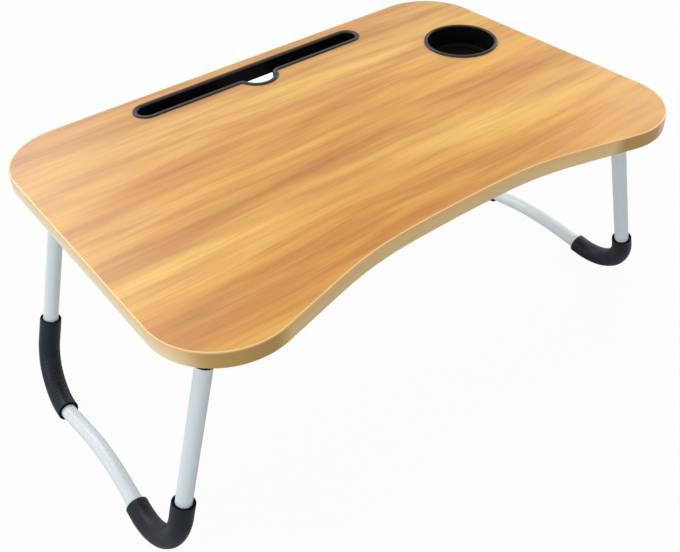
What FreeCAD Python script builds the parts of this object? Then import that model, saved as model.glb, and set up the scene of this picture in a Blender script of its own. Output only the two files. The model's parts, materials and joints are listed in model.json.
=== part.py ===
"""Folding bed tray table: a veneered board with a tablet slot and a cup holder,
on two bent tube legs that fold flat underneath.

Millimetres, +Z up. The origin is on the floor below the middle of the board, +X is
along the board, and the user sits on the -Y side. The legs are modelled open, as the
table stands. The feature that takes the most skill is the folding hinge: a capped tube
end whose heel bears on the bracket plate, turning between two cheeks on a pin.
"""
import FreeCAD, Part
import math
import os
from FreeCAD import Vector

# Board
BOARD_LENGTH = 600.0           # over the edge band
BOARD_DEPTH = 400.0
CORE_THICKNESS = 15.0
TOP_SHEET = 0.9
BACKING_SHEET = 0.7
BAND_THICKNESS = 1.5
BAND_ARRIS = 0.9               # rounding of the band's two edges
BAND_SEAM = 0.3                # gap where the ends of the band meet
BAND_SEAM_ANGLE = 38.0         # from the board's side, round the front right corner
REAR_CORNER_RADIUS = 68.0
FRONT_CORNER_RADIUS = 70.0
ARCH_DEPTH = 34.5              # how far the front edge is cut back in the middle
ARCH_RADIUS = 1700.0           # flat arc in the middle of the arch
ARCH_SLOPE = 15.2              # degrees, the straight run from a front corner towards the arch
SHOULDER_RADIUS = 360.0        # arc between the straight run and the flat arc

# Tablet slot
SLOT_LENGTH = 292.0            # clear opening
SLOT_WIDTH = 21.5
SLOT_FROM_REAR = 32.4          # board's rear edge to the middle of the slot
SLOT_FLOOR = 1.6               # flush with the underside of the board
SLOT_WALL = 1.8
SLOT_RIM_WIDTH = 5.5
SLOT_RIM_HEIGHT = 1.6
SLOT_RIM_ROUND = 1.3           # outer edge of the rim
SLOT_LIP_ROUND = 2.2           # inner edge of the rim, rolled down into the slot
SLOT_FLOOR_FILLET = 1.5
NOTCH_RADIUS = 18.2
NOTCH_OFFSET = -1.0            # the notch's middle along the slot
NOTCH_FROM_AXIS = 12.0         # from the slot's middle line forward to the notch's centre
NOTCH_BLEND = 8.5              # rounding where the notch meets the slot
CABLE_HOLE_LENGTH = 68.0       # the floor is left out along this much of the slot

# Cup holder
CUP_FROM_SIDE = 71.4           # board's right edge to the middle of the cup
CUP_FROM_REAR = 132.9          # board's rear edge to the middle of the cup
CUP_RADIUS = 39.0              # clear opening at the face of the rim
CUP_RIM_WIDTH = 4.0
CUP_RIM_HEIGHT = 2.0
CUP_RIM_ROUND = 1.4            # both edges of the rim
CUP_DEPTH = 24.0               # face of the board to the inside of the floor
CUP_WALL = 2.0
CUP_DRAFT = 1.5                # degrees
CUP_FLOOR_FILLET = 4.0

# Fits of both liners in the board
LINER_CLEARANCE = 0.4
RIB_WIDTH = 1.2                # crush ribs that grip the cut-outs
SLOT_RIB_FROM_END = 20.0       # from the end of the slot's straight wall
SLOT_RIB_SPACING = 46.0
CUP_RIB_COUNT = 8

# Leg
LEG_SPLAY = 15.6               # degrees outward when open
HINGE_FROM_SIDE = 44.0         # board's left and right edges to the pivots
POST_FROM_END = 56.0           # board's front and rear edges to the posts
FOLDED_GAP = 2.0               # between the feet of the two legs when both are folded
TUBE_DIAMETER = 16.0
TUBE_WALL = 1.0
FOOT_BEND_RADIUS = 55.0
BAR_RISE = 24.0                # of the bar's middle above its ends
BAR_BEND_RADIUS = 260.0

# Foot sleeves: pushed on by hand, so each one sits and is squeezed a little differently
SLEEVE_WALL = 3.35
SLEEVE_CLEARANCE = 0.15
SLEEVE_END_ROUND = 1.0
SLEEVE_UP_POST = {             # from the start of the foot bend, up the post
    "left_front": 19.0,
    "left_rear": 31.0,
    "right_front": 10.0,
    "right_rear": 17.0,
}
SLEEVE_LENGTH = {
    "left_front": 126.0,
    "left_rear": 120.0,
    "right_front": 115.0,
    "right_rear": 120.0,
}

# Hinge
PIN_DIAMETER = 5.0
PIN_FIT = 0.02
PIN_RUNNING_CLEARANCE = 0.07
PIN_HEAD_OVERHANG = 1.7        # of the domed head, round the pin
PIN_HEAD_HEIGHT = 2.0
PIN_TAIL_OVERHANG = 1.1        # of the peened end, round the pin
PIN_TAIL_HEIGHT = 1.2
TUBE_FIT = 0.1                 # between the tube and the knuckle's bore
TUBE_PAST_PIVOT = 6.0
KNUCKLE_WALL = 2.7             # at the pivot
KNUCKLE_MOUTH_WALL = 2.2
KNUCKLE_LENGTH = 18.2          # pivot to the mouth
KNUCKLE_MOUTH_ROUND = 1.5
KNUCKLE_TOP_GAP = 3.2          # between the knuckle's flat top and the plate
KNUCKLE_HEAD_MARGIN = 0.5      # the head's rounding is this much wider than the knuckle
BOSS_RADIUS = 6.5              # flat round the pin, against the cheeks
BOSS_PROUD = 0.2
HEEL_REACH = 9.5               # outboard of the pivot
HEEL_WIDTH = 12.0
HEEL_CLEARANCE = 0.1
CHEEK_GAP = 0.2                # each side, between the boss and the cheek
CHEEK_THICKNESS = 3.5
CHEEK_NOSE_RADIUS = 8.0
CHEEK_SETBACK = 6.0            # from the plate's ends to the feet of the cheeks
PLATE_LENGTH = 40.0
PLATE_THICKNESS = 3.0
GUSSET_THICKNESS = 2.0
GUSSET_WIDTH = 4.5
GUSSET_ABOVE_HEAD = 1.0        # between the gusset and the pin's head

# Bracket screws
SCREW_SHANK = 3.5
SCREW_HEAD = 7.0
SCREW_LENGTH = 14.0
SCREW_POINT = 3.5              # length of the tapered point
SCREW_TIP_RADIUS = 0.4
DRIVE_SPAN = 3.2               # of the cross recess
DRIVE_WIDTH = 0.8
DRIVE_DEPTH = 1.1
SCREW_FROM_EDGE = 6.0          # the plate's edges to the screws, and its corner radius
SCREW_FROM_CHEEK = 5.3
SCREW_FIT = 0.05

FLAT = 0.01                    # heights that differ by less count as equal

# Worked out from the sizes above
TUBE_RADIUS = TUBE_DIAMETER / 2
SLEEVE_BORE_RADIUS = TUBE_RADIUS + SLEEVE_CLEARANCE
SLEEVE_RADIUS = SLEEVE_BORE_RADIUS + SLEEVE_WALL
PIN_RADIUS = PIN_DIAMETER / 2
PIN_HEAD_RADIUS = PIN_RADIUS + PIN_HEAD_OVERHANG
KNUCKLE_BORE_RADIUS = TUBE_RADIUS + TUBE_FIT
KNUCKLE_RADIUS = KNUCKLE_BORE_RADIUS + KNUCKLE_WALL
KNUCKLE_MOUTH_RADIUS = KNUCKLE_BORE_RADIUS + KNUCKLE_MOUTH_WALL
PLATE_DROP = KNUCKLE_RADIUS + KNUCKLE_TOP_GAP     # plate's lower face to the pivot
PIVOT_DROP = PLATE_DROP + PLATE_THICKNESS         # underside of the board to the pivot
BOSS_REACH = KNUCKLE_RADIUS + BOSS_PROUD
CHEEK_INNER = BOSS_REACH + CHEEK_GAP
CHEEK_OUTER = CHEEK_INNER + CHEEK_THICKNESS
SCREW_Y = CHEEK_OUTER + SCREW_FROM_CHEEK
PLATE_WIDTH = 2 * (SCREW_Y + SCREW_FROM_EDGE)
HINGE_X = BOARD_LENGTH / 2 - HINGE_FROM_SIDE
HINGE_Y = BOARD_DEPTH / 2 - POST_FROM_END
# each leg is as long as the room that it folds into
LEG_REACH = HINGE_X - SLEEVE_RADIUS - FOLDED_GAP / 2
PIVOT_Z = SLEEVE_RADIUS + LEG_REACH * math.cos(math.radians(LEG_SPLAY))
BOARD_THICKNESS = CORE_THICKNESS + TOP_SHEET + BACKING_SHEET
UNDERSIDE_Z = PIVOT_Z + PIVOT_DROP
CORE_BASE_Z = UNDERSIDE_Z + BACKING_SHEET
CORE_TOP_Z = CORE_BASE_Z + CORE_THICKNESS
FACE_Z = UNDERSIDE_Z + BOARD_THICKNESS
SLOT_Y = BOARD_DEPTH / 2 - SLOT_FROM_REAR
CUP_X = BOARD_LENGTH / 2 - CUP_FROM_SIDE
CUP_Y = BOARD_DEPTH / 2 - CUP_FROM_REAR
ORIGIN = Vector(0, 0, 0)
DOWN = Vector(0, 0, -1)
UP = Vector(0, 0, 1)
ALONG_X = Vector(1, 0, 0)
ALONG_Y = Vector(0, 1, 0)
SIDES = {"left": -1, "right": 1}
ENDS = {"front": -1, "rear": 1}


def export(name, shape):
    """Write one finished piece, and print what it is made of."""
    if not shape.isValid():
        raise ValueError(name + " is not a valid solid")
    shape.exportStep("parts/" + name + ".step")
    print(name, len(shape.Solids), "solid(s),", round(shape.Volume), "mm3")


def polar(centre, radius, angle):
    """Point on a circle in the board's plane, angle in radians from +X."""
    return centre + Vector(radius * math.cos(angle), radius * math.sin(angle), 0)


def mirrored_x(point):
    return Vector(-point.x, point.y, point.z)


def arc(start, middle, end):
    return Part.Arc(start, middle, end).toShape()


def line(start, end):
    return Part.LineSegment(start, end).toShape()


# ---------------------------------------------------------------- board

def board_face(inset):
    """Outline of the board moved inward: all arcs keep their centres."""
    half_length = BOARD_LENGTH / 2
    half_depth = BOARD_DEPTH / 2
    rear_centre = Vector(half_length - REAR_CORNER_RADIUS, half_depth - REAR_CORNER_RADIUS, 0)
    front_centre = Vector(half_length - FRONT_CORNER_RADIUS, FRONT_CORNER_RADIUS - half_depth, 0)
    arch_centre = Vector(0, ARCH_DEPTH - half_depth - ARCH_RADIUS, 0)
    tangent_angle = math.pi / 2 - math.radians(ARCH_SLOPE)
    # the shoulder touches the straight run from outside and the flat arc from inside
    across = polar(ORIGIN, 1, tangent_angle)
    along = polar(ORIGIN, 1, tangent_angle + math.pi / 2)
    offset = (front_centre - arch_centre).dot(across) - FRONT_CORNER_RADIUS - SHOULDER_RADIUS
    between = ARCH_RADIUS - SHOULDER_RADIUS
    shoulder_centre = arch_centre + across * offset + along * math.sqrt(between ** 2 - offset ** 2)
    arch_end_angle = math.atan2(shoulder_centre.y - arch_centre.y, shoulder_centre.x)

    rear_radius = REAR_CORNER_RADIUS - inset
    front_radius = FRONT_CORNER_RADIUS - inset
    shoulder_radius = SHOULDER_RADIUS + inset
    arch_radius = ARCH_RADIUS + inset
    corner_end_angle = tangent_angle - math.pi
    points = [
        rear_centre + Vector(0, rear_radius, 0),
        polar(rear_centre, rear_radius, math.pi / 4),
        rear_centre + Vector(rear_radius, 0, 0),
        front_centre + Vector(front_radius, 0, 0),
        polar(front_centre, front_radius, corner_end_angle / 2),
        polar(front_centre, front_radius, corner_end_angle),
        polar(shoulder_centre, shoulder_radius, tangent_angle),
        polar(shoulder_centre, shoulder_radius, (tangent_angle + arch_end_angle) / 2),
        polar(arch_centre, arch_radius, arch_end_angle),
    ]
    edges = [line(mirrored_x(points[0]), points[0])]
    for half in (points, [mirrored_x(point) for point in points]):
        edges.append(arc(half[0], half[1], half[2]))
        edges.append(line(half[2], half[3]))
        edges.append(arc(half[3], half[4], half[5]))
        edges.append(line(half[5], half[6]))
        edges.append(arc(half[6], half[7], half[8]))
    edges.append(arc(points[8], polar(arch_centre, arch_radius, math.pi / 2), mirrored_x(points[8])))
    return Part.Face(Part.Wire(Part.__sortEdges__(edges)))


def board_layer(inset, base_z, thickness):
    layer = board_face(inset).extrude(Vector(0, 0, thickness))
    layer.translate(Vector(0, 0, base_z))
    return layer


def slot_prism(grow, base_z, height):
    """Upright prism of the slot with its notch, its outline moved outward by grow."""
    radius = SLOT_WIDTH / 2 + grow
    straight = SLOT_LENGTH - SLOT_WIDTH
    prism = Part.makeBox(straight, 2 * radius, height, Vector(-straight / 2, SLOT_Y - radius, base_z))
    for end in (-1, 1):
        prism = prism.fuse(Part.makeCylinder(radius, height, Vector(end * straight / 2, SLOT_Y, base_z)))
    notch_centre = Vector(NOTCH_OFFSET, SLOT_Y - NOTCH_FROM_AXIS, base_z)
    prism = prism.fuse(Part.makeCylinder(NOTCH_RADIUS + grow, height, notch_centre)).removeSplitter()
    front_y = SLOT_Y - radius
    crossing = math.sqrt((NOTCH_RADIUS + grow) ** 2 - (notch_centre.y - front_y) ** 2)
    corners = []
    for edge in prism.Edges:
        middle = edge.CenterOfMass
        upright = abs(edge.Vertexes[0].Z - edge.Vertexes[-1].Z) > height / 2
        at_crossing = abs(abs(middle.x - NOTCH_OFFSET) - crossing) < FLAT
        if upright and at_crossing and abs(middle.y - front_y) < FLAT:
            corners.append(edge)
    return prism.makeFillet(NOTCH_BLEND - grow, corners)


def cup_hole():
    radius = CUP_RADIUS + CUP_WALL + LINER_CLEARANCE
    return Part.makeCylinder(radius, BOARD_THICKNESS, Vector(CUP_X, CUP_Y, UNDERSIDE_Z))


def screw_places():
    """Screw positions on one bracket, from its pivot."""
    screw_x = PLATE_LENGTH / 2 - SCREW_FROM_EDGE
    return [Vector(x, y, 0) for x in (-screw_x, screw_x) for y in (-SCREW_Y, SCREW_Y)]


def hinge_places():
    """Name and pivot point of each of the four hinges."""
    places = []
    for side, sign in SIDES.items():
        for end, row in ENDS.items():
            places.append((side + "_" + end, Vector(sign * HINGE_X, row * HINGE_Y, PIVOT_Z)))
    return places


def pilot_holes():
    depth = SCREW_LENGTH - PLATE_THICKNESS
    holes = []
    for name, pivot in hinge_places():
        for place in screw_places():
            start = pivot + place + UP * PIVOT_DROP
            holes.append(Part.makeCylinder(SCREW_SHANK / 2 + SCREW_FIT, depth, start, UP))
    return holes


def board_sheets():
    """The core and its two sheets, all with the same cut-outs."""
    slot_hole = slot_prism(SLOT_WALL + LINER_CLEARANCE, UNDERSIDE_Z, BOARD_THICKNESS)
    cutters = [slot_hole, cup_hole()]
    core = board_layer(BAND_THICKNESS, CORE_BASE_Z, CORE_THICKNESS)
    top = board_layer(BAND_THICKNESS, CORE_TOP_Z, TOP_SHEET)
    backing = board_layer(BAND_THICKNESS, UNDERSIDE_Z, BACKING_SHEET)
    holes = pilot_holes()
    export("board_core", core.cut(cutters + holes))
    export("top_laminate", top.cut(cutters))
    export("underside_backing", backing.cut(cutters + holes))


def edge_band():
    outer = board_layer(0, UNDERSIDE_Z, BOARD_THICKNESS)
    rims = []
    for edge in outer.Edges:
        if abs(edge.Vertexes[0].Z - edge.Vertexes[-1].Z) < FLAT:
            rims.append(edge)
    outer = outer.makeFillet(BAND_ARRIS, rims)
    band = outer.cut(board_layer(BAND_THICKNESS, UNDERSIDE_Z, BOARD_THICKNESS))
    corner = Vector(BOARD_LENGTH / 2 - FRONT_CORNER_RADIUS, FRONT_CORNER_RADIUS - BOARD_DEPTH / 2, 0)
    cut_length = 4 * BAND_THICKNESS
    start = FRONT_CORNER_RADIUS - 2 * BAND_THICKNESS
    seam = Part.makeBox(cut_length, BAND_SEAM, BOARD_THICKNESS, Vector(start, -BAND_SEAM / 2, UNDERSIDE_Z))
    seam.rotate(ORIGIN, UP, -BAND_SEAM_ANGLE)
    seam.translate(corner)
    export("edge_band", band.cut(seam))


# ---------------------------------------------------------------- liners

def edges_at(shape, z):
    """Edges of a shape that lie flat at one height."""
    found = []
    for edge in shape.Edges:
        box = edge.BoundBox
        if abs(box.ZMin - z) < FLAT and abs(box.ZMax - z) < FLAT:
            found.append(edge)
    return found


def inner_edges_at(shape, z):
    """Edges round the opening in a ring-shaped face that lies flat at one height."""
    for face in shape.Faces:
        box = face.BoundBox
        if abs(box.ZMin - z) < FLAT and abs(box.ZMax - z) < FLAT and len(face.Wires) == 2:
            opening = min(face.Wires, key=lambda wire: wire.Length)
            return opening.Edges
    return []


def slot_liner():
    floor_z = UNDERSIDE_Z + SLOT_FLOOR
    rim_top = FACE_Z + SLOT_RIM_HEIGHT
    rim = slot_prism(SLOT_RIM_WIDTH, FACE_Z, SLOT_RIM_HEIGHT)
    rim = rim.makeFillet(SLOT_RIM_ROUND, edges_at(rim, rim_top))
    body = slot_prism(SLOT_WALL, UNDERSIDE_Z, BOARD_THICKNESS)
    pocket = slot_prism(0, floor_z, rim_top - floor_z)
    pocket = pocket.makeFillet(SLOT_FLOOR_FILLET, edges_at(pocket, floor_z))
    hole = slot_prism(0, UNDERSIDE_Z, BOARD_THICKNESS)
    hole_start = Vector(NOTCH_OFFSET - CABLE_HOLE_LENGTH / 2, 0, UNDERSIDE_Z)
    hole = hole.common(Part.makeBox(CABLE_HOLE_LENGTH, BOARD_DEPTH / 2, BOARD_THICKNESS, hole_start))
    liner = rim.fuse(body).removeSplitter().cut([pocket, hole])
    liner = liner.makeFillet(SLOT_LIP_ROUND, inner_edges_at(liner, rim_top))
    for rib in slot_ribs():
        liner = liner.fuse(rib)
    export("slot_liner", liner.removeSplitter())


def slot_ribs():
    """Small ribs on the liner's straight walls that grip the cut-out."""
    ribs = []
    wall_y = SLOT_WIDTH / 2 + SLOT_WALL
    outermost = (SLOT_LENGTH - SLOT_WIDTH) / 2 - SLOT_RIB_FROM_END
    for end in (-1, 1):
        for rib_x in (outermost, outermost - SLOT_RIB_SPACING):
            for start_y in (SLOT_Y - wall_y - LINER_CLEARANCE, SLOT_Y + wall_y):
                start = Vector(end * rib_x - RIB_WIDTH / 2, start_y, UNDERSIDE_Z)
                ribs.append(Part.makeBox(RIB_WIDTH, LINER_CLEARANCE, BOARD_THICKNESS, start))
    return ribs


def cup_profile():
    """Half section of the cup, from its axis outward and back."""
    rim_top = FACE_Z + CUP_RIM_HEIGHT
    floor_z = FACE_Z - CUP_DEPTH
    inner_floor = CUP_RADIUS - CUP_DEPTH * math.tan(math.radians(CUP_DRAFT))
    outer = CUP_RADIUS + CUP_WALL
    rim = CUP_RADIUS + CUP_RIM_WIDTH
    outer_floor = inner_floor + CUP_WALL
    corners = [
        Vector(0, 0, floor_z),
        Vector(inner_floor, 0, floor_z),
        Vector(CUP_RADIUS, 0, rim_top),
        Vector(rim, 0, rim_top),
        Vector(rim, 0, FACE_Z),
        Vector(outer, 0, FACE_Z),
        Vector(outer, 0, UNDERSIDE_Z),
        Vector(outer_floor, 0, floor_z - CUP_WALL),
        Vector(0, 0, floor_z - CUP_WALL),
    ]
    return Part.Face(Part.makePolygon(corners + corners[:1]))


def cup_holder():
    floor_z = FACE_Z - CUP_DEPTH
    cup = cup_profile().revolve(ORIGIN, UP, 360)
    cup = cup.makeFillet(CUP_RIM_ROUND, edges_at(cup, FACE_Z + CUP_RIM_HEIGHT))
    cup = cup.makeFillet(CUP_FLOOR_FILLET, edges_at(cup, floor_z))
    cup = cup.makeFillet(CUP_FLOOR_FILLET + CUP_WALL, edges_at(cup, floor_z - CUP_WALL))
    cup.translate(Vector(CUP_X, CUP_Y, 0))
    for rib in cup_ribs():
        cup = cup.fuse(rib)
    export("cup_holder", cup.removeSplitter())


def cup_ribs():
    """Small ribs round the cup that grip its cut-out, and end at its wall."""
    start = Vector(CUP_RADIUS + CUP_WALL - LINER_CLEARANCE, -RIB_WIDTH / 2, UNDERSIDE_Z)
    hole = cup_hole()
    ribs = []
    for turn in range(CUP_RIB_COUNT):
        rib = Part.makeBox(3 * LINER_CLEARANCE, RIB_WIDTH, BOARD_THICKNESS, start)
        rib.rotate(ORIGIN, UP, turn * 360 / CUP_RIB_COUNT)
        rib.translate(Vector(CUP_X, CUP_Y, 0))
        ribs.append(rib.common(hole))
    return ribs


# ---------------------------------------------------------------- legs

def leg_frame():
    """What sets out one leg's centre line, flat in the leg's own plane.

    The plane is drawn upright: X is the width between the posts, Z runs down the leg
    from the pivots, and all is symmetric about X = 0.
    """
    slope = math.atan(BAR_RISE / HINGE_Y)
    return {
        "slope": slope,
        "turn": math.pi / 2 + slope,
        "bend_centre": Vector(HINGE_Y - FOOT_BEND_RADIUS, 0, FOOT_BEND_RADIUS - LEG_REACH),
    }


def bend_point(frame, angle):
    """Point on the foot bend, angle in radians from the post's end of it."""
    reach = Vector(FOOT_BEND_RADIUS * math.cos(angle), 0, -FOOT_BEND_RADIUS * math.sin(angle))
    return frame["bend_centre"] + reach


def leg_path(frame):
    """Centre line of the whole leg, from one post's top to the other's."""
    top = Vector(HINGE_Y, 0, TUBE_PAST_PIVOT)
    start = bend_point(frame, 0)
    middle = bend_point(frame, frame["turn"] / 2)
    end = bend_point(frame, frame["turn"])
    slope = frame["slope"]
    run = (end.x - BAR_BEND_RADIUS * math.sin(slope)) / math.cos(slope)
    bar_end = end + Vector(-run * math.cos(slope), 0, run * math.sin(slope))
    crown = bar_end + Vector(-bar_end.x, 0, BAR_BEND_RADIUS * (1 - math.cos(slope)))
    edges = [arc(bar_end, crown, mirrored_x(bar_end))]
    for sign in (1, -1):
        half = [Vector(sign * point.x, 0, point.z) for point in (top, start, middle, end, bar_end)]
        edges.append(line(half[0], half[1]))
        edges.append(arc(half[1], half[2], half[3]))
        edges.append(line(half[3], half[4]))
    return Part.Wire(Part.__sortEdges__(edges))


def sleeve_path(frame, up_post, length):
    """Centre line of a sleeve of one length that starts up_post above the foot bend."""
    start = bend_point(frame, 0)
    top = start + Vector(0, 0, up_post)
    on_arc = min(length - up_post, FOOT_BEND_RADIUS * frame["turn"])
    angle = on_arc / FOOT_BEND_RADIUS
    end = bend_point(frame, angle)
    edges = [line(top, start), arc(start, bend_point(frame, angle / 2), end)]
    on_bar = length - up_post - on_arc
    if on_bar > 0:
        slope = frame["slope"]
        edges.append(line(end, end + Vector(-on_bar * math.cos(slope), 0, on_bar * math.sin(slope))))
    return Part.Wire(edges)


def rod(path, radius):
    """Round bar swept along a path of tangent lines and arcs."""
    start = path.OrderedVertexes[0].Point
    direction = path.OrderedEdges[0].tangentAt(path.OrderedEdges[0].FirstParameter)
    circle = Part.Wire(Part.makeCircle(radius, start, direction))
    return path.makePipeShell([circle], True, False)


def stand_leg(shape, sign):
    """Turn a piece drawn in the leg's plane to its place on the right or left leg."""
    shape.rotate(ORIGIN, UP, 90)
    shape.rotate(ORIGIN, ALONG_Y, -LEG_SPLAY)
    shape.translate(Vector(HINGE_X, 0, PIVOT_Z))
    if sign < 0:
        shape.rotate(ORIGIN, UP, 180)
    return shape


def leg_tube(frame, sign):
    path = leg_path(frame)
    tube = rod(path, TUBE_RADIUS).cut(rod(path, TUBE_RADIUS - TUBE_WALL))
    hole_radius = PIN_RADIUS + PIN_RUNNING_CLEARANCE
    for end in (-1, 1):
        start = Vector(end * HINGE_Y - TUBE_DIAMETER, 0, 0)
        tube = tube.cut(Part.makeCylinder(hole_radius, 2 * TUBE_DIAMETER, start, ALONG_X))
    return stand_leg(tube, sign)


def foot_sleeve(path, sign, row):
    sleeve = rod(path, SLEEVE_RADIUS)
    rims = [edge for edge in sleeve.Edges if is_end_rim(edge, path)]
    sleeve = sleeve.makeFillet(SLEEVE_END_ROUND, rims)
    sleeve = sleeve.cut(rod(path, SLEEVE_BORE_RADIUS))
    if row * sign < 0:
        sleeve = sleeve.mirror(ORIGIN, ALONG_X)
    return stand_leg(sleeve, sign)


def is_end_rim(edge, path):
    """Whether an edge is a full circle round one end of the path."""
    if not edge.isClosed():
        return False
    ends = (path.OrderedVertexes[0], path.OrderedVertexes[-1])
    return min(edge.CenterOfMass.distanceToPoint(end.Point) for end in ends) < FLAT


# ---------------------------------------------------------------- hinges

def place_at_hinge(shape, pivot):
    """Move a piece drawn for the right side, pivot at the origin, to one hinge."""
    if pivot.x < 0:
        shape.rotate(ORIGIN, UP, 180)
    shape.translate(pivot)
    return shape


def hinge_knuckle():
    """Moulded cap on the tube's end, drawn leaning out as it stands, pivot at the origin."""
    profile = Part.makePolygon([
        Vector(0, 0, -KNUCKLE_LENGTH),
        Vector(KNUCKLE_MOUTH_RADIUS, 0, -KNUCKLE_LENGTH),
        Vector(KNUCKLE_RADIUS, 0, 0),
        Vector(KNUCKLE_RADIUS, 0, KNUCKLE_RADIUS),
        Vector(0, 0, KNUCKLE_RADIUS),
        Vector(0, 0, -KNUCKLE_LENGTH),
    ])
    cap = Part.Face(profile).revolve(ORIGIN, UP, 360)
    cap = cap.makeFillet(KNUCKLE_MOUTH_ROUND, edges_at(cap, -KNUCKLE_LENGTH))
    cap = cap.cut(head_waste())
    bosses = Part.makeCylinder(BOSS_RADIUS, 2 * BOSS_REACH, Vector(0, -BOSS_REACH, 0), ALONG_Y)
    cap = cap.fuse(bosses)
    cap.rotate(ORIGIN, ALONG_Y, -LEG_SPLAY)
    cap = cap.fuse(heel())
    bore_length = KNUCKLE_LENGTH + TUBE_PAST_PIVOT + TUBE_FIT
    bore = Part.makeCylinder(KNUCKLE_BORE_RADIUS, bore_length, Vector(0, 0, -KNUCKLE_LENGTH), UP)
    bore.rotate(ORIGIN, ALONG_Y, -LEG_SPLAY)
    pin_start = Vector(0, -2 * KNUCKLE_RADIUS, 0)
    pin_bore_radius = PIN_RADIUS + PIN_RUNNING_CLEARANCE
    pin_bore = Part.makeCylinder(pin_bore_radius, 4 * KNUCKLE_RADIUS, pin_start, ALONG_Y)
    return cap.cut([bore, pin_bore]).removeSplitter()


def head_waste():
    """What is rounded off the knuckle's head, so that it clears the plate as it turns."""
    wide = 4 * KNUCKLE_RADIUS
    waste = Part.makeBox(wide, wide, wide, Vector(-wide / 2, -wide / 2, 0))
    head_radius = KNUCKLE_RADIUS + KNUCKLE_HEAD_MARGIN
    return waste.cut(Part.makeCylinder(head_radius, wide, Vector(0, -wide / 2, 0), ALONG_Y))


def heel():
    """Square shoulder on the outboard side that bears on the plate when the leg is open."""
    top = PLATE_DROP - HEEL_CLEARANCE
    return Part.makeBox(HEEL_REACH, HEEL_WIDTH, top, Vector(0, -HEEL_WIDTH / 2, 0))


def cheek_face():
    """Side view of one cheek: a nose round the pin, widening to the plate."""
    foot = Vector(PLATE_LENGTH / 2 - CHEEK_SETBACK, 0, PLATE_DROP)
    angle = math.atan2(foot.z, foot.x) - math.acos(CHEEK_NOSE_RADIUS / foot.Length)
    touch = Vector(CHEEK_NOSE_RADIUS * math.cos(angle), 0, CHEEK_NOSE_RADIUS * math.sin(angle))
    edges = [
        line(mirrored_x(foot), foot),
        line(foot, touch),
        arc(touch, Vector(0, 0, -CHEEK_NOSE_RADIUS), mirrored_x(touch)),
        line(mirrored_x(touch), mirrored_x(foot)),
    ]
    return Part.Face(Part.Wire(edges))


def hinge_bracket():
    """Moulded bracket: plate, two cheeks and their gussets, pivot at the origin."""
    corner = Vector(-PLATE_LENGTH / 2, -PLATE_WIDTH / 2, PLATE_DROP)
    plate = Part.makeBox(PLATE_LENGTH, PLATE_WIDTH, PLATE_THICKNESS, corner)
    uprights = [edge for edge in plate.Edges if abs(edge.Vertexes[0].Z - edge.Vertexes[-1].Z) > FLAT]
    bracket = plate.makeFillet(SCREW_FROM_EDGE, uprights)
    for side in (-1, 1):
        cheek = cheek_face().extrude(Vector(0, side * CHEEK_THICKNESS, 0))
        cheek.translate(Vector(0, side * CHEEK_INNER, 0))
        bracket = bracket.fuse([cheek, gusset(side)])
    pin_start = Vector(0, -PLATE_WIDTH / 2, 0)
    bracket = bracket.cut(Part.makeCylinder(PIN_RADIUS + PIN_FIT, PLATE_WIDTH, pin_start, ALONG_Y))
    for place in screw_places():
        mouth = place + UP * PLATE_DROP
        shank_hole = Part.makeCylinder(SCREW_SHANK / 2 + SCREW_FIT, PLATE_THICKNESS, mouth, UP)
        bracket = bracket.cut([shank_hole, countersink(SCREW_FIT, mouth)])
    return bracket.removeSplitter()


def gusset(side):
    """Thin web in the middle of a cheek's outer face, up to the plate."""
    thin = GUSSET_THICKNESS / 2
    cheek_y = side * CHEEK_OUTER
    corners = [
        Vector(-thin, cheek_y, PLATE_DROP),
        Vector(-thin, cheek_y + side * GUSSET_WIDTH, PLATE_DROP),
        Vector(-thin, cheek_y, PIN_HEAD_RADIUS + GUSSET_ABOVE_HEAD),
    ]
    return Part.Face(Part.makePolygon(corners + corners[:1])).extrude(Vector(GUSSET_THICKNESS, 0, 0))


def countersink(grow, mouth):
    """Cone of a countersunk head, widest at its mouth."""
    wide = SCREW_HEAD / 2 + grow
    narrow = SCREW_SHANK / 2 + grow
    return Part.makeCone(wide, narrow, wide - narrow, mouth, UP)


def pivot_pin():
    """Pin with a domed head towards the nearer edge of the board and a peened tail."""
    shank = Part.makeCylinder(PIN_RADIUS, 2 * CHEEK_OUTER, Vector(0, -CHEEK_OUTER, 0), ALONG_Y)
    dome_radius = (PIN_HEAD_RADIUS ** 2 + PIN_HEAD_HEIGHT ** 2) / (2 * PIN_HEAD_HEIGHT)
    top_y = -CHEEK_OUTER - PIN_HEAD_HEIGHT
    ball = Part.makeSphere(dome_radius, Vector(0, top_y + dome_radius, 0))
    head = ball.common(Part.makeCylinder(dome_radius, PIN_HEAD_HEIGHT, Vector(0, top_y, 0), ALONG_Y))
    tail_radius = PIN_RADIUS + PIN_TAIL_OVERHANG
    tail = Part.makeCone(tail_radius, PIN_RADIUS, PIN_TAIL_HEIGHT, Vector(0, CHEEK_OUTER, 0), ALONG_Y)
    return shank.fuse([head, tail]).removeSplitter()


def bracket_screws():
    """The four countersunk screws of one bracket, pivot at the origin."""
    screws = []
    for place in screw_places():
        mouth = place + UP * PLATE_DROP
        shank_length = SCREW_LENGTH - SCREW_POINT
        shank = Part.makeCylinder(SCREW_SHANK / 2, shank_length, mouth, UP)
        point_start = mouth + UP * shank_length
        point = Part.makeCone(SCREW_SHANK / 2, SCREW_TIP_RADIUS, SCREW_POINT, point_start, UP)
        screw = countersink(0, mouth).fuse([shank, point])
        for turn in (0, 90):
            corner = Vector(-DRIVE_SPAN / 2, -DRIVE_WIDTH / 2, 0)
            drive = Part.makeBox(DRIVE_SPAN, DRIVE_WIDTH, DRIVE_DEPTH, corner)
            drive.rotate(ORIGIN, UP, turn)
            drive.translate(mouth)
            screw = screw.cut(drive)
        screws.append(screw.removeSplitter())
    return Part.makeCompound(screws)


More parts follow.
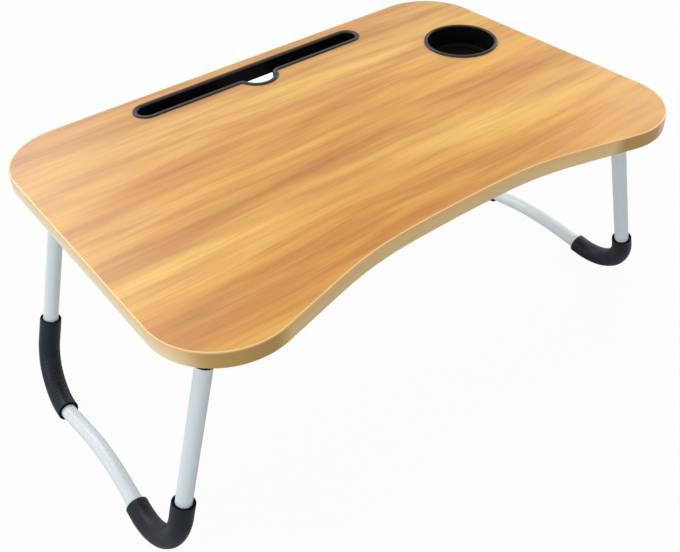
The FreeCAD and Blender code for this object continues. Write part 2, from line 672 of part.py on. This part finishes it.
def hinges():
    for name, pivot in hinge_places():
        export(name + "_hinge_bracket", place_at_hinge(hinge_bracket(), pivot))
        export(name + "_hinge_knuckle", place_at_hinge(hinge_knuckle(), pivot))
        pin = pivot_pin()
        if pivot.y * pivot.x > 0:
            pin.rotate(ORIGIN, UP, 180)
        export(name + "_pivot_pin", place_at_hinge(pin, pivot))
        export(name + "_bracket_screws", place_at_hinge(bracket_screws(), pivot))


def legs():
    frame = leg_frame()
    for side, sign in SIDES.items():
        export(side + "_leg_tube", leg_tube(frame, sign))
        for end, row in ENDS.items():
            name = side + "_" + end
            path = sleeve_path(frame, SLEEVE_UP_POST[name], SLEEVE_LENGTH[name])
            export(name + "_foot_sleeve", foot_sleeve(path, sign, row))


os.makedirs("parts", exist_ok=True)
board_sheets()
edge_band()
slot_liner()
cup_holder()
hinges()
legs()
print("face of the board at", round(FACE_Z, 2), "mm")
print("hinges at x", round(HINGE_X, 2), "z", round(PIVOT_Z, 2))
print("legs folded flat at", round(90 + LEG_SPLAY, 2), "degrees")
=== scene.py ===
# A folding bed tray table: a wood-grain board with a black tablet slot and cup holder,
# on two white tube legs that wear dark foam sleeves on their feet.
import json
import math

import bmesh
import bpy
from mathutils import Matrix, Vector, noise
from mathutils.bvhtree import BVHTree


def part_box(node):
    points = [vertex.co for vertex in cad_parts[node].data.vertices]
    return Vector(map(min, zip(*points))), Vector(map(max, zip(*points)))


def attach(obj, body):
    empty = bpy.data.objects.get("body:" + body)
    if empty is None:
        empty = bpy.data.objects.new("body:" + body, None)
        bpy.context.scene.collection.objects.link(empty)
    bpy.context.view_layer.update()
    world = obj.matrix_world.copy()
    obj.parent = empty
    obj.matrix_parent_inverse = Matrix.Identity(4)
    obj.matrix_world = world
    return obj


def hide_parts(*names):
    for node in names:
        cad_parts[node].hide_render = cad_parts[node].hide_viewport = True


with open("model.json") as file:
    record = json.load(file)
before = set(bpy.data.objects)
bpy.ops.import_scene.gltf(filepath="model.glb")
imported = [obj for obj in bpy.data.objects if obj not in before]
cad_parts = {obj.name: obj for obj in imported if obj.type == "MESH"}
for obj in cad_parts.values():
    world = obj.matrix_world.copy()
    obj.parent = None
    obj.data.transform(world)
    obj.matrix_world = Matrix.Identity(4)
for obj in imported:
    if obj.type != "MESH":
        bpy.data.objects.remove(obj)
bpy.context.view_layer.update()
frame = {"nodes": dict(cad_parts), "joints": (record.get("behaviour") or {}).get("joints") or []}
nodes = frame["nodes"]


# ---------------------------------------------------------------- the view
# The table is seen from in front of its left side and from above, by a camera a little
# under a metre away that leans slightly to one side.
MM = 0.001                     # one millimetre, in metres
PICTURE_WIDTH = 680
PICTURE_HEIGHT = 552
VIEW_TURN = -35.33             # degrees about the vertical
VIEW_RISE = 35.99              # degrees above the board
VIEW_LEAN = -2.93
VIEW_DISTANCE = 921.9 * MM     # from the middle of the board's face
VIEW_RIGHT = 29.0 * MM         # how far that middle lies right of the camera's axis
VIEW_UP = 79.6 * MM
FOCAL_PIXELS = 908.3
CENTRE_X = 316.0               # pixel that the camera's axis points at
CENTRE_Y = 207.8

board_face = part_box("top_laminate")[1].z
camera = bpy.data.objects.new("camera", bpy.data.cameras.new("camera"))
bpy.context.scene.collection.objects.link(camera)
bpy.context.scene.camera = camera
camera.data.lens = camera.data.sensor_width * FOCAL_PIXELS / PICTURE_WIDTH
camera.data.shift_x = (PICTURE_WIDTH / 2 - CENTRE_X) / PICTURE_WIDTH
camera.data.shift_y = (CENTRE_Y - PICTURE_HEIGHT / 2) / PICTURE_WIDTH
facing = Matrix.Rotation(math.radians(VIEW_TURN), 4, "Z")
facing = facing @ Matrix.Rotation(math.radians(90 - VIEW_RISE), 4, "X")
facing = facing @ Matrix.Rotation(math.radians(VIEW_LEAN), 4, "Z")
away = Matrix.Translation((-VIEW_RIGHT, -VIEW_UP, VIEW_DISTANCE))
camera.matrix_world = Matrix.Translation((0, 0, board_face)) @ facing @ away


# ---------------------------------------------------------------- floor and light
# A white studio: a wide matt floor, an even white surround and soft lamps. A low one on the
# left lights the legs. Two at the back are mirrored, blurred, in the board's two ends.
FLOOR_SIZE = 12.0              # metres
FLOOR_WHITE = "#D6D6D6"
FLOOR_GLOW = 0.96              # share of plain white in the floor as the camera sees it
SURROUND = 0.54                # strength of the light from all round
WHITE = "#FFFFFF"
LAMPS = {                      # place in metres, size in metres, watts
    "overhead_lamp": ((0.0, 0.2, 2.2), 1.2, 6),
    "left_lamp": ((-1.7, -0.2, 0.55), 0.9, 5.5),
    "rear_left_lamp": ((-0.25, 1.5, 1.5), 1.2, 20),
    "rear_right_lamp": ((1.75, 0.4, 0.95), 0.8, 6),
}


def colour(code):
    """Linear colour from an sRGB hex value."""
    channels = [int(code[start:start + 2], 16) / 255 for start in (1, 3, 5)]
    linear = [c / 12.92 if c <= 0.04045 else ((c + 0.055) / 1.055) ** 2.4 for c in channels]
    return (*linear, 1.0)


def add_node(tree, kind, inputs=None, stops=None, **settings):
    """Add a node. inputs gives its sockets values or sources, stops the steps of a ramp."""
    node = tree.nodes.new("ShaderNode" + kind)
    for name, value in settings.items():
        setattr(node, name, value)
    for name, value in (inputs or {}).items():
        if isinstance(value, bpy.types.NodeSocket):
            tree.links.new(value, node.inputs[name])
        else:
            node.inputs[name].default_value = value
    for index, (place, code) in enumerate(stops or []):
        elements = node.color_ramp.elements
        step = elements[index] if index < 2 else elements.new(place)
        step.position = place
        step.color = colour(code)
    return node


def math_node(tree, operation, *values):
    return add_node(tree, "Math", dict(enumerate(values)), operation=operation).outputs[0]


def empty_material(name):
    """A material without nodes, and its node tree."""
    material = bpy.data.materials.new(name)
    material.use_nodes = True
    material.node_tree.nodes.clear()
    return material, material.node_tree


bpy.ops.mesh.primitive_plane_add(size=FLOOR_SIZE)
floor = bpy.context.object
floor.name = "studio_floor"
studio_white, tree = empty_material("matt_white_floor")
rays = add_node(tree, "LightPath").outputs
matt = add_node(tree, "BsdfDiffuse", {"Color": colour(FLOOR_WHITE)})
glow = add_node(tree, "Emission", {"Color": colour(WHITE), "Strength": 1.0})
seen = math_node(tree, "MULTIPLY", rays["Is Camera Ray"], FLOOR_GLOW)
both = add_node(tree, "MixShader", {0: seen, 1: matt.outputs[0], 2: glow.outputs[0]})
add_node(tree, "OutputMaterial", {"Surface": both.outputs[0]})
floor.data.materials.append(studio_white)

world = bpy.data.worlds.new("white_surround")
bpy.context.scene.world = world
world.use_nodes = True
tree = world.node_tree
tree.nodes.clear()
rays = add_node(tree, "LightPath").outputs
seen = math_node(tree, "MAXIMUM", rays["Is Camera Ray"], rays["Is Glossy Ray"])
seen = math_node(tree, "MAXIMUM", seen, rays["Is Transmission Ray"])
even = add_node(tree, "Background", {"Color": colour(WHITE), "Strength": SURROUND})
white = add_node(tree, "Background", {"Color": colour(WHITE), "Strength": 1.0})
both = add_node(tree, "MixShader", {0: seen, 1: even.outputs[0], 2: white.outputs[0]})
add_node(tree, "OutputWorld", {"Surface": both.outputs[0]})

for name, (place, size, power) in LAMPS.items():
    lamp = bpy.data.objects.new(name, bpy.data.lights.new(name, "AREA"))
    lamp.data.size = size
    lamp.data.energy = power
    lamp.location = place
    aim = Vector((0, 0, board_face)) - Vector(place)
    lamp.rotation_euler = aim.to_track_quat("-Z", "Y").to_euler()
    bpy.context.scene.collection.objects.link(lamp)

bpy.context.scene.view_settings.view_transform = "Standard"


# ---------------------------------------------------------------- board core
# The board is medium density fibreboard: wood fibre pressed with resin, brown and faintly
# speckled, with cut-outs that the black liners cover.
FIBRE_CLUMP = 1.2              # mm


def millimetres(tree):
    """The piece's own coordinates, in millimetres."""
    place = add_node(tree, "TexCoord").outputs["Object"]
    scaled = add_node(tree, "VectorMath", {0: place, "Scale": 1 / MM}, operation="SCALE")
    return scaled.outputs["Vector"]


def speckle(tree, place, size, detail):
    """Noise in clumps of this size in millimetres."""
    inputs = {"Vector": place, "Scale": 1 / size, "Detail": detail}
    return add_node(tree, "TexNoise", inputs).outputs["Fac"]


def ramp(tree, value, *stops):
    """The colours that belong to a value. A stop is a value and its colour."""
    return add_node(tree, "ValToRGB", {"Fac": value}, stops).outputs["Color"]


def surface(tree, inputs):
    """End a material in one principled shader."""
    shader = add_node(tree, "BsdfPrincipled", inputs)
    add_node(tree, "OutputMaterial", {"Surface": shader.outputs[0]})


def dress(material, *names):
    """Give these CAD pieces one material in all their slots."""
    for name in names:
        slots = nodes[name].material_slots
        for slot in slots:
            slot.material = material
        if not slots:
            nodes[name].data.materials.append(material)


fibreboard, tree = empty_material("pressed_fibreboard")
clumps = speckle(tree, millimetres(tree), FIBRE_CLUMP, 3.0)
fibre = ramp(tree, clumps, (0.35, "#9C7B56"), (0.65, "#C09C70"))
surface(tree, {"Base Color": fibre, "Roughness": 0.85})
dress(fibreboard, "board_core")


# ---------------------------------------------------------------- top sheet
# Melamine sheet printed with an oak figure: paper soaked in resin and pressed under heat, so
# it is flat and satin. Its grain runs along the board in soft honey bands with a few brown
# veins, which start and end within the sheet.
BAND_SPREAD = 400.0            # mm, the depth of the board, over which the bands are laid out
OAK_BANDS = [                  # from the user's edge of the board to the far edge
    (0.05, "#E3A846"),
    (0.20, "#EAB24C"),
    (0.30, "#F2C565"),
    (0.38, "#E0A84C"),
    (0.50, "#E8B152"),
    (0.62, "#E3AB50"),
    (0.76, "#E9BB62"),
    (0.86, "#DBAA59"),
    (0.96, "#DBA65B"),
]
OAK_VEINS = [                  # mm: place across, from and to along, half width; then darkness
    (152, -290, -30, 9, 0.30),
    (153, 110, 285, 8, 0.34),
    (87, -235, -95, 4, 0.34),
    (86, 10, 185, 4, 0.44),
    (61, 40, 110, 3, 0.24),
    (34, -60, 80, 5, 0.46),
    (31, 95, 180, 6, 0.34),
    (20, -300, -205, 8, 0.28),
    (-9, -300, -180, 10, 0.34),
    (-37, -285, -15, 5, 0.46),
    (-29, 50, 295, 7, 0.36),
    (-63, -290, -85, 3, 0.44),
    (-58, -15, 70, 4, 0.28),
    (-90, -285, -140, 2, 0.34),
    (-101, -5, 75, 4, 0.26),
    (-143, -295, -130, 5, 0.44),
    (-139, -90, 120, 6, 0.26),
]
VEIN_END = 45.0                # mm over which a vein fades out
VEIN_BROWN = "#9A6228"
WANDER = 7.0                   # mm that the grain drifts sideways
WANDER_LENGTH = 330.0
WANDER_WIDTH = 140.0
CLOUD_LENGTH = 230.0           # mm, of the broad light and dark patches
CLOUD_WIDTH = 42.0
CLOUD_SHARE = 0.45             # how much of their colour shows
STREAK_LENGTH = 150.0          # mm
STREAK_WIDTH = 13.0
STREAK_SHARE = 0.58
FIBRE_LENGTH = 60.0            # mm
FIBRE_WIDTH = 1.6
FIBRE_SHARE = 0.36


def stretched_noise(tree, place, length, width, detail):
    """Noise drawn out along the board: length by width in millimetres."""
    size = (1 / length, 1 / width, 1)
    scaled = add_node(tree, "VectorMath", {0: place, 1: size}, operation="MULTIPLY")
    return speckle(tree, scaled.outputs[0], 1.0, detail)


def smooth_step(tree, value, start, end, low, high):
    """Goes from low to high while the value goes from start to end."""
    limits = {"Value": value, "From Min": start, "From Max": end, "To Min": low, "To Max": high}
    return add_node(tree, "MapRange", limits, interpolation_type="SMOOTHSTEP").outputs["Result"]


def distance(tree, value, place):
    return math_node(tree, "ABSOLUTE", math_node(tree, "SUBTRACT", value, place))


def mixed(tree, share, base, other, blend="MIX"):
    """A colour with a share of another one in it."""
    inputs = {"Factor": share, "A": base, "B": other}
    return add_node(tree, "Mix", inputs, data_type="RGBA", blend_type=blend).outputs["Result"]


def bump(tree, pattern, strength, depth):
    """Normals that follow a pattern. depth is in millimetres."""
    inputs = {"Height": pattern, "Strength": strength, "Distance": depth * MM}
    return add_node(tree, "Bump", inputs).outputs["Normal"]


def vein(tree, along, across, place, start, end, half_width, darkness):
    """One brown vein, as a share of its colour."""
    body = smooth_step(tree, distance(tree, across, place), 0, 2 * half_width, darkness, 0)
    rise = smooth_step(tree, along, start - VEIN_END, start + VEIN_END, 0, 1)
    fall = smooth_step(tree, along, end - VEIN_END, end + VEIN_END, 1, 0)
    return math_node(tree, "MULTIPLY", body, math_node(tree, "MULTIPLY", rise, fall))


oak_print, tree = empty_material("oak_print_melamine")
place = millimetres(tree)
drift = stretched_noise(tree, place, WANDER_LENGTH, WANDER_WIDTH, 2.0)
drift = add_node(tree, "MapRange", {"Value": drift, "To Min": -2 * WANDER, "To Max": 2 * WANDER})
sideways = add_node(tree, "CombineXYZ", {"Y": drift.outputs[0]})
place = add_node(tree, "VectorMath", {0: place, 1: sideways.outputs[0]}, operation="ADD").outputs[0]
parts = add_node(tree, "SeparateXYZ", {"Vector": place}).outputs
depth = add_node(tree, "MapRange", {"Value": parts["Y"], "From Min": -BAND_SPREAD / 2,
                                    "From Max": BAND_SPREAD / 2})
figure = ramp(tree, depth.outputs[0], *OAK_BANDS)

clouds = stretched_noise(tree, place, CLOUD_LENGTH, CLOUD_WIDTH, 1.0)
cloud_tone = ramp(tree, clouds, (0.38, "#E0BFA0"), (0.62, WHITE))
figure = mixed(tree, CLOUD_SHARE, figure, cloud_tone, "MULTIPLY")
streaks = stretched_noise(tree, place, STREAK_LENGTH, STREAK_WIDTH, 3.0)
streak_tone = ramp(tree, streaks, (0.32, "#D2A98A"), (0.62, WHITE))
figure = mixed(tree, STREAK_SHARE, figure, streak_tone, "MULTIPLY")

# A vein is fainter where the streaks are pale.
veins = 0.0
for numbers in OAK_VEINS:
    veins = math_node(tree, "MAXIMUM", veins, vein(tree, parts["X"], parts["Y"], *numbers))
broken = smooth_step(tree, streaks, 0.35, 0.60, 1.0, 0.35)
figure = mixed(tree, math_node(tree, "MULTIPLY", veins, broken), figure, colour(VEIN_BROWN))

fibres = stretched_noise(tree, place, FIBRE_LENGTH, FIBRE_WIDTH, 2.0)
fibre_tone = ramp(tree, fibres, (0.30, "#D9B595"), (0.50, WHITE))
figure = mixed(tree, FIBRE_SHARE, figure, fibre_tone, "MULTIPLY")
relief = bump(tree, fibres, strength=0.06, depth=0.1)
gloss = add_node(tree, "MapRange", {"Value": streaks, "To Min": 0.34, "To Max": 0.44})
surface(tree, {"Base Color": figure, "Roughness": gloss.outputs[0], "Normal": relief})
dress(oak_print, "top_laminate")


# ---------------------------------------------------------------- underside
# Plain balancing sheet glued under the core so that the board stays flat: matt, pale beige
# paper with a hardly visible cloudiness.
PAPER_CLOUD = 60.0             # mm

backing, tree = empty_material("balancing_paper")
clouds = speckle(tree, millimetres(tree), PAPER_CLOUD, 4.0)
paper = ramp(tree, clouds, (0.3, "#CDB28C"), (0.7, "#DAC2A0"))
surface(tree, {"Base Color": paper, "Roughness": 0.7})
dress(backing, "underside_backing")


# ---------------------------------------------------------------- edge band
# PVC strip ironed onto the board's edge, in a sandy wood tone with faint lines along it.
# A browner stretch by each front corner is painted shade. Painted light makes the band paler
# towards its lower edge, most of all at the left end, where light falls from the left, and a
# paler line along its arris, which is scraped round, is a painted highlight.
BAND_LINE_LENGTH = 90.0        # mm
BAND_LINE_WIDTH = 1.1
BAND_HEIGHT = 17.0             # mm, over which the painted light grows towards the lower edge
# Painted light: the pale cream that the band is painted towards, as if lit from the left.
BAND_PAINTED_LIGHT = "#FAF0D0"
LEFT_END = (-300, -272)        # mm along the board: the end, and where its extra painted light stops
PAINTED_SHADE_STRETCHES = [(-250, 46), (218, 36)]     # mm along the board: middle and half length of each stretch of painted shade
# Painted shade: the browner tone by each front corner.
BAND_PAINTED_SHADE = "#BC9245"
PAINTED_SHADE_SHARE = 0.85
BAND_FRONT = (-120, -70)       # mm across the board, where the painted shade fades out
ARRIS_HEIGHT = 1.8             # mm, of the painted highlight along the arris, from the board's face
# Painted highlight: the paler colour along the arris.
ARRIS_PAINTED_HIGHLIGHT = "#F6CE90"

face_height = board_face / MM
edge_strip, tree = empty_material("pvc_edge_strip")
place = millimetres(tree)
parts = add_node(tree, "SeparateXYZ", {"Vector": place}).outputs
line_size = (1 / BAND_LINE_LENGTH, 1 / BAND_LINE_LENGTH, 1 / BAND_LINE_WIDTH)
line_place = add_node(tree, "VectorMath", {0: place, 1: line_size}, operation="MULTIPLY")
lines = speckle(tree, line_place.outputs[0], 1.0, 3.0)
strip = ramp(tree, lines, (0.30, "#ECC278"), (0.50, "#F6CD83"), (0.70, "#F9D78F"))

# Painted light: paler towards the lower edge, most of all at the left end.
lower = add_node(tree, "MapRange", {"Value": parts["Z"], "From Min": face_height - BAND_HEIGHT,
                                    "From Max": face_height, "To Min": 1.0, "To Max": 0.1})
left_end = smooth_step(tree, parts["X"], *LEFT_END, 1.0, 0.30)
painted_light = math_node(tree, "MULTIPLY", lower.outputs[0], left_end)
strip = mixed(tree, painted_light, strip, colour(BAND_PAINTED_LIGHT))

# Painted shade: a browner stretch by each front corner, towards the front.
painted_shade = 0.0
for middle, half_length in PAINTED_SHADE_STRETCHES:
    off = distance(tree, parts["X"], middle)
    stretch = smooth_step(tree, off, half_length / 2, half_length, PAINTED_SHADE_SHARE, 0)
    painted_shade = math_node(tree, "MAXIMUM", painted_shade, stretch)
front = smooth_step(tree, parts["Y"], *BAND_FRONT, 1, 0)
strip = mixed(tree, math_node(tree, "MULTIPLY", painted_shade, front), strip, colour(BAND_PAINTED_SHADE))

# Painted highlight: a paler line along the arris.
arris_highlight = smooth_step(tree, parts["Z"], face_height - ARRIS_HEIGHT, face_height, 0, 1)
strip = mixed(tree, arris_highlight, strip, colour(ARRIS_PAINTED_HIGHLIGHT))
surface(tree, {"Base Color": strip, "Roughness": 0.26})
dress(edge_strip, "edge_band")


# ---------------------------------------------------------------- slot liner and cup holder
# Two black mouldings pressed into the board. The mould for this ABS is blasted inside, which
# makes the recesses dull, and polished at the rims, which catch a soft line of light.
MOULD_GRAIN = 0.7              # mm, coarser than the real grain so that it shows
POLISH = 0.6                   # weight of the rims' gloss
POLISH_DEPTH = 1.0             # mm under the board's face over which it sets in

black_abs, tree = empty_material("black_moulded_abs")
place = millimetres(tree)
grain = speckle(tree, place, MOULD_GRAIN, 2.0)
shade = ramp(tree, grain, (0.3, "#040405"), (0.7, "#09090A"))
height = add_node(tree, "SeparateXYZ", {"Vector": place}).outputs["Z"]
polish = smooth_step(tree, height, face_height - POLISH_DEPTH, face_height, 0, POLISH)
relief = bump(tree, grain, strength=0.12, depth=0.05)
surface(tree, {"Base Color": shade, "Roughness": 0.6, "Specular IOR Level": 0.1,
               "Coat Weight": polish, "Coat Roughness": 0.25, "Normal": relief})
dress(black_abs, "slot_liner", "cup_holder")


# ---------------------------------------------------------------- leg tubes
# Steel tube bent to shape and powder coated white. The coat has a faint orange peel and
# looks cool beside the warm board. Each is the CAD tube with its faces joined.
ORANGE_PEEL = 1.6              # mm
WELD_DISTANCE = 0.001 * MM
SHARP_ANGLE = 40.0             # degrees, from which an edge is shaded sharp

powder_coat, tree = empty_material("white_powder_coat")
peel = speckle(tree, millimetres(tree), ORANGE_PEEL, 1.0)
relief = bump(tree, peel, strength=0.03, depth=0.06)
surface(tree, {"Base Color": colour("#E5F2F8"), "Roughness": 0.34, "Normal": relief})


def welded(source, name):
    """A copy of a CAD piece with its faces joined."""
    shape = bmesh.new()
    shape.from_mesh(nodes[source].data)
    bmesh.ops.remove_doubles(shape, verts=shape.verts, dist=WELD_DISTANCE)
    piece = bpy.data.objects.new(name, bpy.data.meshes.new(name))
    shape.to_mesh(piece.data)
    shape.free()
    bpy.context.scene.collection.objects.link(piece)
    return piece


tubes = {}
for leg in ("left_leg", "right_leg"):
    tube = welded(leg + "_tube", leg + "_coated_tube")
    tube.data.shade_smooth()
    tube.data.set_sharp_from_angle(angle=math.radians(SHARP_ANGLE))
    tube.data.materials.append(powder_coat)
    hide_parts(leg + "_tube")
    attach(tube, leg)
    tubes[leg] = tube


# ---------------------------------------------------------------- foot sleeves
# Thick foam rubber tube, cut to length and pushed round the foot bends. It is closed-cell
# foam, almost black, with a smooth skin that is a little uneven and creases faintly on the
# inside of the bend. Its cut ends are blacker and show the cells.
FOAM_CELL = 0.9                # mm
FOAM_GRID = 0.9 * MM           # size of the sleeve's faces
FOAM_WALL = 3.5 * MM           # tube to the sleeve's skin
DENT = 0.35 * MM               # greatest depth of the uneven skin
DENT_SPACING = 16.0 * MM
CREASE = 0.3 * MM              # greatest depth of a crease
CREASE_SPACING = 6.0 * MM
CREASE_DRIFT = 5.0             # radians that the row of creases drifts
CREASE_FADE = 0.5              # radians at each end of the bend over which they fade out
CUT_FACING = 0.5               # a face that looks away from the tube by less than this is cut
TUBE_RADIUS = 8.0 * MM
BEND_RADIUS = 55.0 * MM        # of the foot bend, to the middle of the tube

HINGES = ("left_front", "left_rear", "right_front", "right_rear")


def foam_material(name, dark, light, dull, shine, pits):
    material, tree = empty_material(name)
    cells = speckle(tree, millimetres(tree), FOAM_CELL, 3.0)
    foam = ramp(tree, cells, (0.3, dark), (0.7, light))
    relief = bump(tree, cells, strength=pits, depth=0.15)
    surface(tree, {"Base Color": foam, "Roughness": dull, "Specular IOR Level": shine,
                   "Normal": relief})
    return material


foam_skin = foam_material("foam_rubber_skin", "#141B22", "#1F2831", 0.42, 0.22, 0.15)
foam_cut = foam_material("foam_rubber_cut_end", "#050506", "#0D0D0F", 0.90, 0.10, 0.60)


def remeshed(source, name):
    """A copy of a CAD piece in even faces."""
    piece = welded(source, name)
    grid = piece.modifiers.new("grid", "REMESH")
    grid.mode = "VOXEL"
    grid.voxel_size = FOAM_GRID
    solid = piece.evaluated_get(bpy.context.evaluated_depsgraph_get())
    piece.data = bpy.data.meshes.new_from_object(solid)
    piece.modifiers.clear()
    return piece


def foot_bend(leg, toward):
    """Centre of a foot bend and the direction up its post. toward is 1 at the rear, else -1."""
    low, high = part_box(leg + "_tube")
    pivot = next(Vector(joint["pos_m"]) for joint in frame["joints"] if joint["child"] == leg)
    foot_x = high.x - TUBE_RADIUS if pivot.x > 0 else low.x + TUBE_RADIUS
    foot = Vector((foot_x, 0, low.z + TUBE_RADIUS))
    up_post = (Vector((pivot.x, 0, pivot.z)) - foot).normalized()
    centre = foot + up_post * BEND_RADIUS
    centre.y = toward * (high.y - TUBE_RADIUS - BEND_RADIUS)
    return centre, up_post


def limited(share):
    return min(max(share, 0), 1)


def crease(point, centre, up_post, toward):
    """Depth of the creases here, on the inner half of the bend."""
    reach = point - centre
    across = toward * reach.y
    rise = reach.dot(up_post)
    inner = limited((BEND_RADIUS - math.hypot(across, rise)) / TUBE_RADIUS)
    turn = math.atan2(across, -rise)
    within = limited(turn / CREASE_FADE) * limited((math.pi / 2 - turn) / CREASE_FADE)
    drift = CREASE_DRIFT * noise.noise(point / DENT_SPACING)
    ripple = math.sin(math.tau * turn * BEND_RADIUS / CREASE_SPACING + drift)
    return CREASE * inner * within * (0.5 + 0.5 * ripple)


def squeeze(sleeve, leg, toward):
    """Dent and crease the skin towards the tube, but not the bore, and mark the cut ends."""
    shape = bmesh.new()
    shape.from_mesh(tubes[leg].data)
    core = BVHTree.FromBMesh(shape)
    shape.free()
    centre, up_post = foot_bend(leg, toward)
    shape = bmesh.new()
    shape.from_mesh(sleeve.data)
    for face in shape.faces:
        middle = face.calc_center_median()
        outward = (middle - core.find_nearest(middle)[0]).normalized()
        face.material_index = 1 if abs(face.normal.dot(outward)) < CUT_FACING else 0
        face.smooth = True
    for vertex in shape.verts:
        nearest, _, _, gap = core.find_nearest(vertex.co)
        skin = min(gap / FOAM_WALL, 1) ** 2
        depth = DENT * (0.5 + 0.5 * noise.noise(vertex.co / DENT_SPACING))
        depth += crease(vertex.co, centre, up_post, toward)
        vertex.co += (nearest - vertex.co).normalized() * skin * depth
    shape.to_mesh(sleeve.data)
    shape.free()


for end in HINGES:
    leg = end.split("_")[0] + "_leg"
    sleeve = remeshed(end + "_foot_sleeve", end + "_foam_sleeve")
    squeeze(sleeve, leg, 1 if end.endswith("rear") else -1)
    sleeve.data.materials.append(foam_skin)
    sleeve.data.materials.append(foam_cut)
    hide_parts(end + "_foot_sleeve")
    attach(sleeve, leg)


# ---------------------------------------------------------------- hinges
# Each hinge is a moulded bracket with four screws, a knuckle on the tube's end and a steel
# pin. The mouldings are glass-filled nylon, dull and faintly mottled.
NYLON_MOTTLE = 2.5             # mm

black_nylon, tree = empty_material("black_nylon")
mottle = speckle(tree, millimetres(tree), NYLON_MOTTLE, 4.0)
shade = ramp(tree, mottle, (0.3, "#121214"), (0.7, "#1D1D20"))
relief = bump(tree, mottle, strength=0.15, depth=0.08)
surface(tree, {"Base Color": shade, "Roughness": 0.48, "Specular IOR Level": 0.25,
               "Normal": relief})
dress(black_nylon, *[name + "_hinge_bracket" for name in HINGES])
dress(black_nylon, *[name + "_hinge_knuckle" for name in HINGES])

# The pins and screws are zinc plated steel: grey, half bright, with a cloudy plating.
PLATING_CLOUD = 1.5            # mm

zinc_plate, tree = empty_material("zinc_plated_steel")
clouds = speckle(tree, millimetres(tree), PLATING_CLOUD, 3.0)
zinc = ramp(tree, clouds, (0.3, "#B4B6BA"), (0.7, "#D2D4D6"))
gloss = add_node(tree, "MapRange", {"Value": clouds, "To Min": 0.26, "To Max": 0.42})
surface(tree, {"Base Color": zinc, "Metallic": 1.0, "Roughness": gloss.outputs[0]})
dress(zinc_plate, *[name + "_pivot_pin" for name in HINGES])
dress(zinc_plate, *[name + "_bracket_screws" for name in HINGES])
